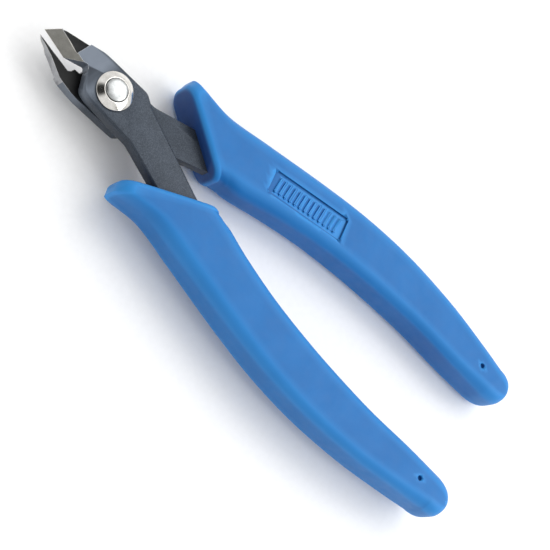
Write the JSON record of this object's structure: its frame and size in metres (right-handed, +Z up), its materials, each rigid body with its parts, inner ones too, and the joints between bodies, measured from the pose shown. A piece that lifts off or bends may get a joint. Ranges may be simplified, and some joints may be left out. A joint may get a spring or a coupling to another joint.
{
  "type": "flush cutter",
  "caption": "Hand-held micro flush cutter with lapped steel halves on a domed rivet, ground jaws, a wire return spring and moulded sleeves.",
  "frame": {"origin": "middle of the underside of the tool's box, with the tool lying on its back", "axes": "+X from the jaws to the handles, +Z up through the rivet towards its domed button, +Y towards the right sleeve"},
  "size_m": [0.136, 0.049, 0.0146],
  "materials": {
    "blackened_steel": "satin blackened steel, with the jaws' facets ground bright",
    "bright_plated_steel": "polished plating",
    "spring_steel": "drawn music wire",
    "blue_sleeve": "satin moulded soft vinyl"
  },
  "bodies": {
    "rear": {"rear_half": "blackened_steel", "right_grip": "blue_sleeve", "pivot_pin": "bright_plated_steel", "pivot_collar": "bright_plated_steel", "return_spring": "spring_steel"},
    "front": {"front_half": "blackened_steel", "left_grip": "blue_sleeve"}
  },
  "joints": [
    {"name": "jaw_pivot", "type": "hinge", "parent": "rear", "child": "front", "pos_m": [-0.04884, 0, 0.00728], "axis": [0, 0, 1], "range_deg": [0, 4], "stiffness_Nm_per_rad": 2, "springref_deg": -2.86, "deforming": ["return_spring"]}
  ]
}
